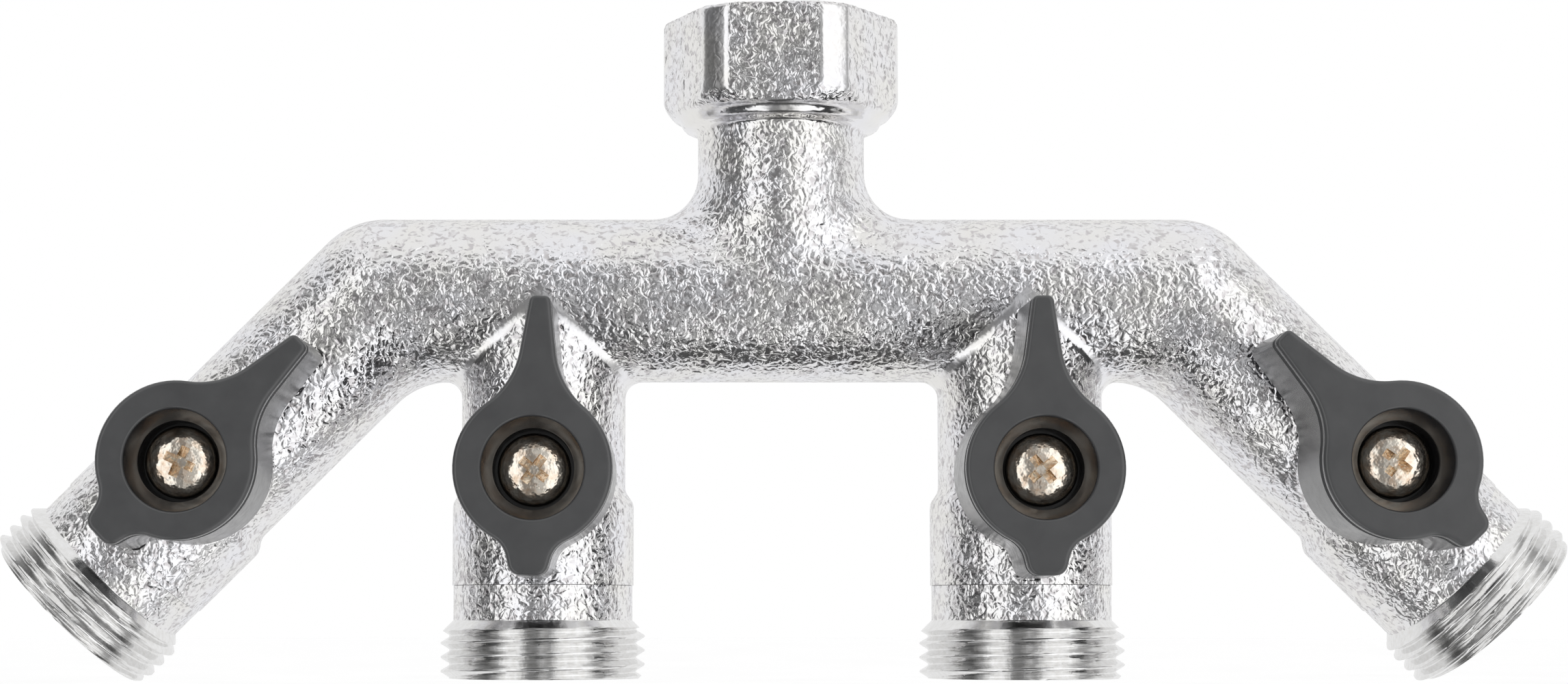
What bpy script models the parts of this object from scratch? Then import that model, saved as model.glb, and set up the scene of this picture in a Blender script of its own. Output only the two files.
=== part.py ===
"""Four-outlet garden hose splitter: a cast brass manifold with a threaded inlet and four ball valves.

Lengths are in millimetres and scaled to metres when a mesh or a placement is made. The inlet's mouth is
the origin, its axis is +Z, the cross tube runs along X, and the valve levers face -Y.
"""

import math

import bmesh
import bpy
from mathutils import Matrix, Vector

MM = 0.001
GAP = 0.15  # working gap between pieces that touch

# Cast body
TUBE_SEGMENTS = 28
INLET_TO_TUBE = 36.7  # inlet mouth to the cross tube's axis
TUBE_R = 10.65
TUBE_BORE_R = 7.9
BEND_X = 51.85  # where the outer arms leave the cross tube
BEND_ANGLE = math.radians(45)
INNER_X = 31.05  # the straight outlets
INNER_LENGTH = 49.15  # cross tube axis to outlet face
OUTER_LENGTH = 57.5  # bend point to outlet face

# Inlet head and neck
HEAD_R = 15.4  # over the turned corners of the hexagon
HEAD_FLATS = 28.3  # across the wrench flats
HEAD_TURN = math.radians(-5)
HEAD_DEPTH = 12.7  # inlet mouth to the lower edge of the wrench flats
HEAD_CHAMFER = 0.4
NECK_R = 10.9
COLLAR_RING_R = 12.8  # ring between the head and the neck
NECK_FOOT_R = 9.9  # where the neck runs into the cross tube
SOCKET_R = 12.1  # minor radius of the female G3/4 thread
SOCKET_DEPTH = 8.8
WASHER_SEAT_R = 12.7
WASHER_THICKNESS = 2.4
WASHER_BORE_R = 8.4

# Outlet ends, measured back from the outlet face
THREAD_LENGTH = 7.5
THREAD_PITCH = 1.814
THREAD_CREST_R = 13.22
THREAD_ROOT_R = 12.1
THREAD_TURNS = 4
LAST_CREST = 0.71
FACE_R = 12.34
RELIEF_END = 12.0
RELIEF_R = 11.6
COLLAR_END = 22.6
COLLAR_R = 11.75
COLLAR_CONE = 1.6
MOUTH_R = 9.4
MOUTH_DEPTH = 2.2

# Fillets of the casting
NECK_FILLET = 6.0
BRANCH_FILLET = 2.0
ELBOW_FILLET = 9.5
FILLET_SINK = 0.2
FILLET_ARC_STEPS = 3
FILLET_SECTIONS = 9
ELBOW_STEPS = 3

# Valves: distances along the flow from the ball's centre, and outwards along the stem
VALVE_FROM_END = 25.8
BALL_R = 7.5
BALL_BORE_R = 5.2
CHAMBER_R = 8.5
CHAMBER_START = -8.6
UPSTREAM_BORE_R = 6.2
SEAT_R = 8.25
SEAT_START = 8.35
SEAT_BORE_R = 5.3
RETAINER_BORE_R = 5.6
SEAT_END = 4.85
RETAINER_END = 14.0
RETAINER_SLOT = 1.6
VALVE_SEGMENTS = 14

BOSS_R = 8.6
BOSS_TOP = 12.3
BOSS_COLLAR_R = 5.9
BOSS_COLLAR_TOP = 13.9
STEM_R = 3.6
STEM_BORE_R = STEM_R + 0.3
STEM_COLLAR_R = 4.6
STEM_COLLAR = (7.9, 9.1)
THRUST_THICKNESS = 0.5
TANG_WIDTH = 2.4
TANG_LENGTH = 6.0
TANG_BOTTOM = 5.9
GROOVE_R = 2.75
GROOVE_WIDTH = 1.3
GROOVES = (10.9, 12.8)
ORING_SECTION = 0.5
DRIVE_WIDTH = 4.6
STEM_TOP = 19.8
SCREW_HOLE_R = 1.95
SCREW_HOLE_BOTTOM = 12.9

# Lever
LEVER_BOTTOM = 12.6
LEVER_FACE = 26.6
LEVER_DRAFT = 0.15  # how much the outline grows from face to bottom
LEVER_EDGE = 0.7
HUB_R = 9.7
POINTER_LENGTH = 21.0
POINTER_HALF_WIDTH = 1.35
POINTER_FLANK = math.radians(8)
POINTER_FILLET = 10.0
TAIL_LENGTH = 13.0
TAIL_HALF_WIDTH = 2.5
TAIL_FLANK = math.radians(14)
TAIL_FILLET = 3.4
RECESS_R = 5.45
RECESS_RIM_R = 6.35
RECESS_RIM_DEPTH = 1.2
RECESS_FLOOR = 20.1
HOLLOW_R = 6.5
HOLLOW_TOP = 14.2

# Lever screw
SCREW_HEAD_R = 4.5
SCREW_HEAD_HEIGHT = 3.3
SCREW_SHANK_R = 1.8
SCREW_LENGTH = 6.4
CROSS_WIDTH = 1.25
CROSS_LENGTH = 5.0
CROSS_DEPTH = 1.9

LEVER_TILT = {"outer_left": -1.1, "inner_left": -2.4, "inner_right": 0.4, "outer_right": -1.2}
SCREW_TURN = {"outer_left": 20.0, "inner_left": 52.0, "inner_right": 40.0, "outer_right": 8.0}


def clear_scene():
    for obj in list(bpy.data.objects):
        bpy.data.objects.remove(obj)


def material(name, color, metallic, roughness):
    made = bpy.data.materials.new(name)
    made.use_nodes = True
    shader = made.node_tree.nodes["Principled BSDF"]
    shader.inputs["Base Color"].default_value = (*color, 1.0)
    shader.inputs["Metallic"].default_value = metallic
    shader.inputs["Roughness"].default_value = roughness
    return made


def add_object(name, bm, mat=None):
    """A mesh object from bm, which is in millimetres, with outward normals and smooth round faces."""
    bmesh.ops.recalc_face_normals(bm, faces=bm.faces)
    bmesh.ops.scale(bm, vec=(MM, MM, MM), verts=bm.verts)
    mesh = bpy.data.meshes.new(name)
    bm.to_mesh(mesh)
    bm.free()
    obj = bpy.data.objects.new(name, mesh)
    bpy.context.scene.collection.objects.link(obj)
    mesh.shade_smooth()
    mesh.set_sharp_from_angle(angle=math.radians(30))
    if mat is not None:
        mesh.materials.append(mat)
    return obj


def lathe(outline, segments=TUBE_SEGMENTS, closed=False, half_step=False):
    """A solid of revolution about Z from (radius, height) points. An open outline ends on the axis."""
    bm = bmesh.new()
    start = 0.5 if half_step else 0.0
    angles = [2 * math.pi * (i + start) / segments for i in range(segments)]
    rings = []
    for radius, height in outline:
        if radius < 1e-6:
            rings.append([bm.verts.new((0, 0, height))])
        else:
            ring = [bm.verts.new((radius * math.sin(a), radius * math.cos(a), height)) for a in angles]
            rings.append(ring)
    pairs = list(zip(rings, rings[1:]))
    if closed:
        pairs.append((rings[-1], rings[0]))
    for low, high in pairs:
        for i in range(segments):
            j = (i + 1) % segments
            corners = [low[i % len(low)], low[j % len(low)], high[j % len(high)], high[i % len(high)]]
            bm.faces.new(list(dict.fromkeys(corners)))
    return bm


def ball_ended(radius, half_length, steps=4):
    """Outline of a round rod along Z with a ball at each end."""
    arc = [math.pi / 2 * i / steps for i in range(steps + 1)]
    top = [(radius * math.sin(a), half_length + radius * math.cos(a)) for a in arc]
    return [(r, -z) for r, z in top] + top[::-1]


def box(size, centre=(0, 0, 0)):
    bm = bmesh.new()
    bmesh.ops.create_cube(bm, size=1.0)
    bmesh.ops.scale(bm, vec=size, verts=bm.verts)
    bmesh.ops.translate(bm, vec=centre, verts=bm.verts)
    return bm


def prism(sections):
    """A solid lofted through matching loops of points, closed by its first and last loops."""
    bm = bmesh.new()
    rings = [[bm.verts.new(point) for point in section] for section in sections]
    count = len(rings[0])
    for low, high in zip(rings, rings[1:]):
        for i in range(count):
            j = (i + 1) % count
            bm.faces.new((low[i], low[j], high[j], high[i]))
    bm.faces.new(rings[0])
    bm.faces.new(rings[-1][::-1])
    return bm


def tube_fillet(along_a, radius_a, along_b, radius_b, fillet):
    """Fills the corner between two tubes whose axes meet at the origin in the XZ plane.

    Each section is the fillet's outline at one depth Y, where both tubes are slabs of known width.
    """
    sign = 1.0 if along_a.cross(along_b).y > 0 else -1.0
    normal_a = Vector((along_a.z, 0, -along_a.x)) * sign
    normal_b = Vector((-along_b.z, 0, along_b.x)) * sign
    skew = normal_a.dot(normal_b)

    def corner(from_a, from_b):
        """The point at these distances from both axes."""
        weight_a = (from_a - skew * from_b) / (1 - skew**2)
        weight_b = (from_b - skew * from_a) / (1 - skew**2)
        return normal_a * weight_a + normal_b * weight_b

    reach = min(radius_a, radius_b) * 0.985
    turn = normal_a.angle(normal_b)
    sections = []
    for step in range(FILLET_SECTIONS + 1):
        depth = reach * math.cos(math.pi * step / FILLET_SECTIONS)
        half_a = math.sqrt(radius_a**2 - depth**2)
        half_b = math.sqrt(radius_b**2 - depth**2)
        local = fillet * math.sqrt(half_a / radius_a)
        lift = local - FILLET_SINK
        centre = corner(half_a + lift, half_b + lift)
        section = [corner(half_a - 0.6, half_b - 0.6)]
        for i in range(FILLET_ARC_STEPS + 1):
            part = i / FILLET_ARC_STEPS
            toward = normal_a * math.sin((1 - part) * turn) + normal_b * math.sin(part * turn)
            section.append(centre - toward.normalized() * local)
        sections.append([point + Vector((0, depth, 0)) for point in section])
    return prism(sections)


def helper(name, bm, matrix=Matrix()):
    obj = add_object(name, bm)
    obj.matrix_world = matrix
    obj.hide_render = True
    obj.display_type = "WIRE"
    return obj


def combine(obj, operation, other):
    modifier = obj.modifiers.new(other.name, "BOOLEAN")
    modifier.operation = operation
    modifier.solver = "EXACT"
    modifier.object = other


def moved(x=0.0, y=0.0, z=0.0):
    return Matrix.Translation(Vector((x, y, z)) * MM)


def z_along(direction):
    """Rotation that turns +Z to a direction in the XZ plane and keeps Y."""
    return Matrix.Rotation(math.atan2(direction.x, direction.z), 4, "Y")


def outlets():
    """Name, start on the cross tube's axis, flow direction and length of each outlet, left to right."""
    slant = Vector((math.sin(BEND_ANGLE), 0, -math.cos(BEND_ANGLE)))
    down = Vector((0, 0, -1))
    return [
        ("outer_left", Vector((-BEND_X, 0, -INLET_TO_TUBE)), Vector((-slant.x, 0, slant.z)), OUTER_LENGTH),
        ("inner_left", Vector((-INNER_X, 0, -INLET_TO_TUBE)), down, INNER_LENGTH),
        ("inner_right", Vector((INNER_X, 0, -INLET_TO_TUBE)), down, INNER_LENGTH),
        ("outer_right", Vector((BEND_X, 0, -INLET_TO_TUBE)), slant, OUTER_LENGTH),
    ]


def outlet_outline(length):
    """Outside of an outlet along its flow, from the narrow tube to the rim of the outlet face."""
    outline = [
        (TUBE_R, length - COLLAR_END - COLLAR_CONE),
        (COLLAR_R, length - COLLAR_END),
        (COLLAR_R, length - RELIEF_END),
        (RELIEF_R, length - RELIEF_END),
        (RELIEF_R, length - THREAD_LENGTH),
    ]
    for turns_left in reversed(range(THREAD_TURNS)):
        crest = length - LAST_CREST - turns_left * THREAD_PITCH
        outline.append((THREAD_ROOT_R, crest - THREAD_PITCH / 2))
        outline.append((THREAD_CREST_R, crest))
    outline.append((FACE_R, length))
    return outline


def arm_normal(angle):
    """Outward normal of the bent tube's convex side, turned from straight up."""
    return Vector((math.sin(angle), 0, math.cos(angle)))


def tube_ring(centre, radius, angle):
    """Ring of the bent tube: its first point is on the convex side."""
    up = arm_normal(angle)
    turns = [2 * math.pi * i / TUBE_SEGMENTS for i in range(TUBE_SEGMENTS)]
    return [centre + up * radius * math.cos(a) + Vector((0, radius * math.sin(a), 0)) for a in turns]


def elbow_ring(bend, angle, middle, half_turn):
    """Ring of an elbow: a ball on its convex side, and a fillet on its concave side."""
    ring = []
    for i in range(TUBE_SEGMENTS):
        around = 2 * math.pi * i / TUBE_SEGMENTS
        out = TUBE_R * math.cos(around)
        depth = Vector((0, TUBE_R * math.sin(around), 0))
        if out > 0:
            ring.append(bend + arm_normal(angle) * out + depth)
            continue
        fillet = ELBOW_FILLET * math.sqrt(-out / TUBE_R)
        centre = bend - arm_normal(middle) * (fillet - out) / math.cos(half_turn)
        ring.append(centre + arm_normal(angle) * fillet + depth)
    return ring


def bent_tube():
    """The cross tube with both outer arms and their outlet ends, as one swept solid."""
    rings = []
    half_turn = BEND_ANGLE / 2
    for side in (-1, 1):
        bend = Vector((side * BEND_X, 0, 0))
        end_angle = side * BEND_ANGLE
        flow = Vector((side * math.sin(BEND_ANGLE), 0, -math.cos(BEND_ANGLE)))
        elbow = []
        for step in range(ELBOW_STEPS + 1):
            angle = end_angle * step / ELBOW_STEPS
            elbow.append(elbow_ring(bend, angle, end_angle / 2, half_turn))
        outer = []
        for radius, along in outlet_outline(OUTER_LENGTH):
            outer.append(tube_ring(bend + flow * along, radius, end_angle))
        half = elbow + outer
        rings += half[::-1] if side < 0 else half
    return prism(rings)


def branch_outline():
    """Outside of a straight outlet, from inside the cross tube to the outlet face."""
    return [(0, 0.5), (TUBE_R, 0.5), *outlet_outline(INNER_LENGTH), (0, INNER_LENGTH)]


def outlet_bore(length):
    centre = length - VALVE_FROM_END
    return [
        (0, 0),
        (UPSTREAM_BORE_R, 0),
        (UPSTREAM_BORE_R, centre + CHAMBER_START),
        (CHAMBER_R, centre + CHAMBER_START),
        (CHAMBER_R, length - MOUTH_DEPTH),
        (MOUTH_R, length - MOUTH_DEPTH),
        (MOUTH_R, length + 1),
        (0, length + 1),
    ]


def head_outline():
    """Outside of the inlet head and neck, from the cross tube's axis up to the mouth."""
    base = -HEAD_DEPTH
    return [
        (0, 0.5 - INLET_TO_TUBE),
        (NECK_FOOT_R, 0.5 - INLET_TO_TUBE),
        (NECK_R, TUBE_R - INLET_TO_TUBE),
        (NECK_R, base - 2.4),
        (NECK_R + 0.4, base - 1.7),
        (COLLAR_RING_R, base - 1.3),
        (COLLAR_RING_R + 0.5, base - 0.3),
        (HEAD_FLATS / 2, base),
        (HEAD_R - 0.3, base + 1.2),
        (HEAD_R, base + 2.0),
        (HEAD_R, -HEAD_CHAMFER),
        (HEAD_R - HEAD_CHAMFER, 0),
        (0, 0),
    ]


def inlet_bore():
    washer_floor = -SOCKET_DEPTH - WASHER_THICKNESS
    return [
        (0, -INLET_TO_TUBE),
        (TUBE_BORE_R, -INLET_TO_TUBE),
        (TUBE_BORE_R, washer_floor),
        (WASHER_SEAT_R, washer_floor),
        (WASHER_SEAT_R, -SOCKET_DEPTH),
        (SOCKET_R, -SOCKET_DEPTH),
        (SOCKET_R, -1.2),
        (SOCKET_R + 1.2, 0),
        (SOCKET_R + 1.2, 1),
        (0, 1),
    ]


def stem_bore():
    pocket = STEM_COLLAR[1] + THRUST_THICKNESS + 2 * GAP
    return [
        (0, BALL_R - 2),
        (STEM_COLLAR_R + 0.25, BALL_R - 2),
        (STEM_COLLAR_R + 0.25, pocket),
        (STEM_BORE_R, pocket),
        (STEM_BORE_R, BOSS_COLLAR_TOP + 1),
        (0, BOSS_COLLAR_TOP + 1),
    ]


def boss_outline():
    return [
        (0, 3.0),
        (BOSS_R, 3.0),
        (BOSS_R, BOSS_TOP - 0.5),
        (BOSS_R - 0.5, BOSS_TOP),
        (BOSS_COLLAR_R, BOSS_TOP),
        (BOSS_COLLAR_R, BOSS_COLLAR_TOP),
        (0, BOSS_COLLAR_TOP),
    ]


def valve_frame(start, flow, length):
    """Placement with its origin in the ball, +Z out along the stem and +Y upstream."""
    centre = start + flow * (length - VALVE_FROM_END)
    out = Vector((0, -1, 0))
    upstream = -flow
    side = upstream.cross(out)
    turn = Matrix((side, upstream, out)).transposed().to_4x4()
    return Matrix.Translation(centre * MM) @ turn


def build_body(mat):
    body = add_object("manifold_body", lathe(head_outline(), half_step=True), mat)
    tube_centre = moved(z=-INLET_TO_TUBE)
    corner = HEAD_FLATS / 2 / math.cos(math.radians(30))
    bottom = -2 * INLET_TO_TUBE
    hexagon = lathe([(0, bottom), (corner, bottom), (corner, 2), (0, 2)], 6, half_step=True)
    combine(body, "INTERSECT", helper("cut_wrench_flats", hexagon, Matrix.Rotation(HEAD_TURN, 4, "Z")))

    solids = [("add_bent_tube", bent_tube(), tube_centre)]
    across = tube_centre @ z_along(Vector((1, 0, 0)))
    cuts = [
        ("cut_inlet", lathe(inlet_bore(), half_step=True), Matrix()),
        ("cut_cross_bore", lathe(ball_ended(TUBE_BORE_R, BEND_X)), across),
    ]
    for side, toward in (("left", Vector((-1, 0, 0))), ("right", Vector((1, 0, 0)))):
        fill = tube_fillet(Vector((0, 0, 1)), NECK_R, toward, TUBE_R, NECK_FILLET)
        solids.append((f"add_neck_fillet_{side}", fill, tube_centre))

    for name, start, flow, length in outlets():
        along = Matrix.Translation(start * MM) @ z_along(flow)
        valve = valve_frame(start, flow, length)
        solids.append((f"add_boss_{name}", lathe(boss_outline(), 20), valve))
        cuts.append((f"cut_outlet_{name}", lathe(outlet_bore(length)), along))
        cuts.append((f"cut_stem_{name}", lathe(stem_bore(), 18), valve))
        if name.startswith("outer"):
            continue
        solids.append((f"add_outlet_{name}", lathe(branch_outline(), half_step=True), along))
        for side, toward in (("left", Vector((-1, 0, 0))), ("right", Vector((1, 0, 0)))):
            fill = tube_fillet(flow, TUBE_R, toward, TUBE_R, BRANCH_FILLET)
            solids.append((f"add_branch_fillet_{side}_{name}", fill, Matrix.Translation(start * MM)))

    for name, bm, matrix in solids:
        combine(body, "UNION", helper(name, bm, matrix))
    for name, bm, matrix in cuts:
        combine(body, "DIFFERENCE", helper(name, bm, matrix))
    return body


def build_inlet_washer(mat):
    bottom = -SOCKET_DEPTH - WASHER_THICKNESS + GAP
    top = -SOCKET_DEPTH - GAP
    outer = WASHER_SEAT_R - 0.4
    outline = [(WASHER_BORE_R, bottom), (outer, bottom), (outer, top), (WASHER_BORE_R, top)]
    return add_object("inlet_washer", lathe(outline, closed=True), mat)


def arc_points(centre, radius, first, last, steps):
    angles = [first + (last - first) * i / steps for i in range(steps + 1)]
    return [(centre[0] + radius * math.cos(a), centre[1] + radius * math.sin(a)) for a in angles]


def arm_side(length, half_width, flank, fillet):
    """One side of a lever arm along +Y, from its tip to the hub, and the angle at which it meets the hub.

    The side is a straight flank that widens towards the hub, joined to the hub's circle by a fillet.
    """
    corner = half_width * 0.62
    out = Vector((math.cos(flank), math.sin(flank)))
    tip_centre = Vector((half_width - corner, length - corner))
    edge = tip_centre + out * corner
    reach = HUB_R + fillet
    offset = edge + out * fillet
    down = Vector((math.sin(flank), -math.cos(flank)))
    along = -offset.dot(down)
    root = math.sqrt(along**2 - offset.length_squared + reach**2)
    along += root if root > along else -root
    centre = offset + down * along
    hub_angle = math.atan2(centre.y, centre.x)
    points = arc_points(tip_centre, corner, math.pi / 2, flank, 3)
    points += arc_points(centre, fillet, math.pi + flank, math.pi + hub_angle, 4)
    return points, hub_angle


def lever_outline():
    """Half outline of the lever at X > 0, from the pointer's tip round to the tail's tip."""
    pointer, first = arm_side(POINTER_LENGTH, POINTER_HALF_WIDTH, POINTER_FLANK, POINTER_FILLET)
    tail, last = arm_side(TAIL_LENGTH, TAIL_HALF_WIDTH, TAIL_FLANK, TAIL_FILLET)
    hub = arc_points((0, 0), HUB_R, first, -last, 8)[1:-1]
    half = pointer + hub + [(x, -y) for x, y in tail[::-1]]
    mirror = [(-x, y) for x, y in half[::-1]]
    return [Vector(p) for p in half + mirror]


def offset_loop(points, distance):
    """The closed loop moved outwards along its corners' mean normals."""
    moved_points = []
    for i, point in enumerate(points):
        before = point - points[i - 1]
        after = points[(i + 1) % len(points)] - point
        tangent = before.normalized() + after.normalized()
        normal = Vector((-tangent.y, tangent.x)).normalized()
        moved_points.append(point + normal * distance)
    return moved_points


def build_lever(name, mat):
    outline = lever_outline()
    levels = [
        (LEVER_BOTTOM, LEVER_DRAFT - 0.25),
        (LEVER_BOTTOM + 0.25, LEVER_DRAFT),
        (LEVER_FACE - LEVER_EDGE, 0.0),
        (LEVER_FACE - LEVER_EDGE * 0.3, -LEVER_EDGE * 0.3),
        (LEVER_FACE, -LEVER_EDGE),
    ]
    sections = []
    for height, grow in levels:
        sections.append([(p.x, p.y, height) for p in offset_loop(outline, grow)])
    lever = add_object(f"{name}_lever", prism(sections), mat)
    recess = [
        (0, RECESS_FLOOR),
        (RECESS_R - 0.1, RECESS_FLOOR),
        (RECESS_R, LEVER_FACE - RECESS_RIM_DEPTH),
        (RECESS_RIM_R - 0.25, LEVER_FACE - 0.3),
        (RECESS_RIM_R + 0.2, LEVER_FACE),
        (RECESS_RIM_R + 0.2, LEVER_FACE + 1),
        (0, LEVER_FACE + 1),
    ]
    hollow = [(0, LEVER_BOTTOM - 1), (HOLLOW_R, LEVER_BOTTOM - 1), (HOLLOW_R, HOLLOW_TOP), (0, HOLLOW_TOP)]
    drive = DRIVE_WIDTH + 2 * GAP
    square = box((drive, drive, RECESS_FLOOR - HOLLOW_TOP + 2), (0, 0, (RECESS_FLOOR + HOLLOW_TOP) / 2))
    return lever, [("recess", lathe(recess, 20)), ("hollow", lathe(hollow, 16)), ("drive", square)]


def build_stem(name, mat):
    half = GROOVE_WIDTH / 2
    outline = [(0, STEM_COLLAR[0]), (STEM_COLLAR_R, STEM_COLLAR[0]), (STEM_COLLAR_R, STEM_COLLAR[1])]
    outline.append((STEM_R, STEM_COLLAR[1]))
    for groove in GROOVES:
        outline += [
            (STEM_R, groove - half),
            (GROOVE_R, groove - half),
            (GROOVE_R, groove + half),
            (STEM_R, groove + half),
        ]
    outline += [(STEM_R, STEM_TOP), (0, STEM_TOP)]
    stem = add_object(f"{name}_stem", lathe(outline, VALVE_SEGMENTS), mat)
    hole_top = STEM_TOP + 1
    hole = [
        (0, SCREW_HOLE_BOTTOM),
        (SCREW_HOLE_R, SCREW_HOLE_BOTTOM + 0.8),
        (SCREW_HOLE_R, hole_top),
        (0, hole_top),
    ]
    tang_height = STEM_COLLAR[0] - TANG_BOTTOM + 0.4
    tang = box((TANG_LENGTH, TANG_WIDTH, tang_height), (0, 0, TANG_BOTTOM + tang_height / 2))
    drive_bottom = BOSS_COLLAR_TOP + GAP
    sides = box((20, 20, 10), (0, 0, drive_bottom + 5))
    square = box((DRIVE_WIDTH, DRIVE_WIDTH, 12), (0, 0, drive_bottom + 5))
    return stem, tang, sides, square, lathe(hole, 16)


def build_screw(name, mat):
    seat = RECESS_FLOOR + GAP
    dome = [
        (SCREW_HEAD_R * math.cos(a), seat + 0.9 + (SCREW_HEAD_HEIGHT - 0.9) * math.sin(a))
        for a in [math.radians(step) for step in (0, 22, 45, 67)]
    ]
    outline = [
        (0, seat - SCREW_LENGTH),
        (SCREW_SHANK_R - 0.6, seat - SCREW_LENGTH),
        (SCREW_SHANK_R, seat - SCREW_LENGTH + 0.6),
        (SCREW_SHANK_R, seat),
        (SCREW_HEAD_R - 0.3, seat),
        (SCREW_HEAD_R, seat + 0.3),
        *dome,
        (0, seat + SCREW_HEAD_HEIGHT),
    ]
    return add_object(f"{name}_screw", lathe(outline, VALVE_SEGMENTS), mat)


def cross_cutter():
    """Tapered cross recess, pointing down into a screw head whose top is at its own origin."""
    sections = []
    for height, reach in ((-CROSS_DEPTH, CROSS_LENGTH * 0.3), (1.0, CROSS_LENGTH * 0.6)):
        half = CROSS_WIDTH / 2
        corner = [(reach, -half), (reach, half), (half, half)]
        turned = [Matrix.Rotation(math.radians(90) * i, 2) @ Vector(p) for i in range(4) for p in corner]
        sections.append([(p.x, p.y, height) for p in turned])
    return prism(sections)


def build_ball(name, mat):
    turns = [math.pi * i / 8 for i in range(9)]
    outline = [(BALL_R * math.sin(a), -BALL_R * math.cos(a)) for a in turns]
    return add_object(f"{name}_ball", lathe(outline, VALVE_SEGMENTS), mat)


def torus(radius, section, height):
    steps = 5
    angles = [2 * math.pi * (i + 0.5) / steps for i in range(steps)]
    outline = [(radius + section * math.cos(a), height + section * math.sin(a)) for a in angles]
    return lathe(outline, VALVE_SEGMENTS, closed=True)


def build_valve(name, start, flow, length, mats):
    """All the pieces of one valve, hung on an empty at the ball's centre."""
    frame = bpy.data.objects.new(f"{name}_valve_axis", None)
    frame.empty_display_size = 0.01
    bpy.context.scene.collection.objects.link(frame)
    frame.matrix_world = valve_frame(start, flow, length)
    along_flow = Matrix.Rotation(math.radians(90), 4, "X")  # turns +Z to downstream
    pieces = []

    def cut(obj, part, operation, bm, matrix=Matrix()):
        other = helper(f"{operation.lower()}_{obj.name}_{part}", bm, matrix)
        other.parent = frame
        combine(obj, operation, other)

    ball = build_ball(name, mats["ball"])
    bore = [(0, -10), (BALL_BORE_R, -10), (BALL_BORE_R, 10), (0, 10)]
    cut(ball, "bore", "DIFFERENCE", lathe(bore, VALVE_SEGMENTS), along_flow)
    slot = box((2 * BALL_R, TANG_WIDTH + 2 * GAP, 4), (0, 0, TANG_BOTTOM - GAP + 2))
    cut(ball, "slot", "DIFFERENCE", slot)
    pieces.append(ball)

    seat_outline = [
        (SEAT_BORE_R, SEAT_START),
        (SEAT_BORE_R, 5.65),
        (6.0, SEAT_END),
        (SEAT_R, SEAT_END),
        (SEAT_R, SEAT_START),
    ]
    for end, sign in (("upstream", -1), ("downstream", 1)):
        outline = [(r, sign * z) for r, z in seat_outline]
        seat = add_object(f"{name}_seat_{end}", lathe(outline, VALVE_SEGMENTS + 4, closed=True), mats["ptfe"])
        seat.matrix_world = along_flow
        pieces.append(seat)

    ring_start = SEAT_START + 2 * GAP
    ring = [
        (RETAINER_BORE_R, ring_start),
        (SEAT_R, ring_start),
        (SEAT_R, RETAINER_END),
        (RETAINER_BORE_R, RETAINER_END),
    ]
    retainer = add_object(f"{name}_retainer", lathe(ring, VALVE_SEGMENTS + 4, closed=True), mats["retainer"])
    retainer.matrix_world = along_flow
    key = box((20, RETAINER_SLOT, 2.4), (0, 0, RETAINER_END))
    cut(retainer, "key", "DIFFERENCE", key, along_flow)
    pieces.append(retainer)

    stem, tang, sides, square, hole = build_stem(name, mats["stem"])
    cut(stem, "tang", "UNION", tang)
    shoulder = helper(f"sides_{name}_drive", sides)
    shoulder.parent = frame
    combine(shoulder, "DIFFERENCE", helper(f"square_{name}_drive", square))
    bpy.data.objects[f"square_{name}_drive"].parent = frame
    combine(stem, "DIFFERENCE", shoulder)
    cut(stem, "hole", "DIFFERENCE", hole)
    pieces.append(stem)

    bottom = STEM_COLLAR[1] + GAP
    top = bottom + THRUST_THICKNESS
    inner = STEM_R + 0.1
    outline = [(inner, bottom), (STEM_COLLAR_R, bottom), (STEM_COLLAR_R, top), (inner, top)]
    thrust = add_object(f"{name}_thrust_washer", lathe(outline, VALVE_SEGMENTS, closed=True), mats["ptfe"])
    pieces.append(thrust)
    for label, groove in zip(("lower", "upper"), GROOVES):
        ring_r = (GROOVE_R + STEM_BORE_R) / 2
        oring = add_object(f"{name}_oring_{label}", torus(ring_r, ORING_SECTION, groove), mats["oring"])
        pieces.append(oring)

    lever, lever_cuts = build_lever(name, mats["lever"])
    tilt = Matrix.Rotation(math.radians(LEVER_TILT[name]), 4, "Z")
    lever.matrix_world = tilt
    for part, bm in lever_cuts:
        cut(lever, part, "DIFFERENCE", bm)
    pieces.append(lever)

    screw = build_screw(name, mats["screw"])
    top = RECESS_FLOOR + GAP + SCREW_HEAD_HEIGHT
    at_top = moved(z=top) @ Matrix.Rotation(math.radians(SCREW_TURN[name]), 4, "Z")
    cut(screw, "cross", "DIFFERENCE", cross_cutter(), at_top)
    pieces.append(screw)

    for piece in pieces:
        piece.parent = frame


def main():
    clear_scene()
    mats = {
        "body": material("cast_body", (0.72, 0.72, 0.73), 1.0, 0.28),
        "washer": material("inlet_washer", (0.03, 0.03, 0.03), 0.0, 0.7),
        "ball": material("ball", (0.75, 0.75, 0.76), 1.0, 0.12),
        "ptfe": material("ptfe", (0.85, 0.85, 0.83), 0.0, 0.45),
        "retainer": material("retainer", (0.72, 0.55, 0.28), 1.0, 0.3),
        "stem": material("stem", (0.72, 0.55, 0.28), 1.0, 0.25),
        "oring": material("oring", (0.02, 0.02, 0.02), 0.0, 0.6),
        "lever": material("lever", (0.06, 0.06, 0.065), 0.0, 0.4),
        "screw": material("screw", (0.78, 0.70, 0.58), 1.0, 0.22),
    }
    build_body(mats["body"])
    build_inlet_washer(mats["washer"])
    for name, start, flow, length in outlets():
        build_valve(name, start, flow, length, mats)


main()
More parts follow.
